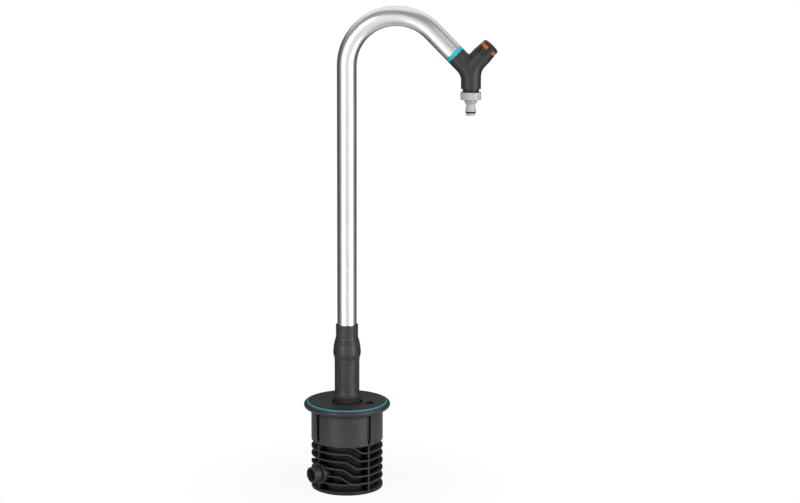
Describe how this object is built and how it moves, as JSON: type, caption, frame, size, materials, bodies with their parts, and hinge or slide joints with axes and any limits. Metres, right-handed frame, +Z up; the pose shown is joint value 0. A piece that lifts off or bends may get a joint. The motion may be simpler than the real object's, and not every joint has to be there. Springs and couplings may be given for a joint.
{
  "type": "garden tap",
  "caption": "Garden tap on a bent standpipe that plugs into a finned ground box with a wide flange; Y-shaped valve with turning knob and a hose connector pointing down.",
  "frame": {"origin": "centre of the ground box's underside", "axes": "+Z up along the standpipe, +X towards the spout"},
  "size_m": [0.3166, 0.1444, 0.8035],
  "materials": {
    "box_plastic": "fine moulded texture",
    "flange_plastic": "satin moulded",
    "foot_plastic": "satin moulded",
    "valve_plastic": "satin moulded",
    "teal_plastic": "satin",
    "orange_plastic": "satin",
    "connector_plastic": "satin",
    "pale_plastic": "natural",
    "pipe_aluminium": "satin anodised",
    "seal_rubber": "matt",
    "steel": "bright",
    "brass": "turned",
    "disc_ceramic": "lapped ceramic"
  },
  "bodies": {
    "root": {"ground_box": "box_plastic", "base_plate": "box_plastic", "top_flange": "flange_plastic", "trim_ring": "teal_plastic", "cover_disc": "flange_plastic", "inlet_nipple": "box_plastic", "inlet_o_ring": "seal_rubber", "inlet_strainer": "pale_plastic", "feed_elbow": "box_plastic", "valve_chamber": "box_plastic", "chamber_o_ring": "seal_rubber", "chamber_seal": "seal_rubber", "plunger_spring": "steel", "receiver": "box_plastic", "receiver_screws": "steel"},
    "plunger": {"stop_plunger": "pale_plastic", "plunger_seal": "seal_rubber"},
    "plug": {"plug_core": "pale_plastic", "plug_o_rings": "seal_rubber", "plug_retainer": "steel"},
    "foot": {"foot_tube": "foot_plastic", "swivel_collar": "foot_plastic"},
    "clamp_nut": {"clamp_nut": "foot_plastic"},
    "pipe": {"bent_pipe": "pipe_aluminium", "pipe_end_sleeve": "pale_plastic", "pipe_o_rings": "seal_rubber", "clamp_ring": "pale_plastic", "pipe_trim_ring": "teal_plastic", "valve_body": "valve_plastic", "body_o_ring": "seal_rubber", "bonnet": "brass", "bonnet_o_ring": "seal_rubber", "fixed_disc": "disc_ceramic", "outlet_spigot": "valve_plastic", "hose_connector": "connector_plastic", "connector_gasket": "seal_rubber", "connector_o_ring": "seal_rubber"},
    "knob": {"knob_sleeve": "valve_plastic", "knob_marker": "orange_plastic", "knob_cap": "valve_plastic", "knob_screw": "steel", "spindle": "brass", "spindle_o_rings": "seal_rubber", "turning_disc": "disc_ceramic"}
  },
  "joints": [
    {"name": "standpipe_lift", "type": "slide", "parent": "root", "child": "plug", "axis": [0, 0, 1], "range_m": [0, 0.075]},
    {"name": "plunger_rise", "type": "slide", "parent": "root", "child": "plunger", "axis": [0, 0, 1], "range_m": [0, 0.006], "deforming": ["plunger_spring"]},
    {"name": "bayonet_turn", "type": "hinge", "parent": "plug", "child": "foot", "pos_m": [0, 0, 0.146], "axis": [0, 0, 1], "range_deg": [0, 45]},
    {"name": "clamp_nut_turn", "type": "hinge", "parent": "foot", "child": "clamp_nut", "pos_m": [0, 0, 0.266], "axis": [0, 0, 1], "range_deg": [0, 90]},
    {"name": "pipe_swivel", "type": "hinge", "parent": "foot", "child": "pipe", "pos_m": [0, 0, 0.21], "axis": [0, 0, 1], "continuous": true},
    {"name": "knob_turn", "type": "hinge", "parent": "pipe", "child": "knob", "pos_m": [0.20135, 0, 0.708], "axis": [0.6884, 0, 0.7254], "range_deg": [0, 90]}
  ],
  "couplings": [
    {"joint": "plunger_rise", "follows": "standpipe_lift", "ratio": 0.08}
  ]
}
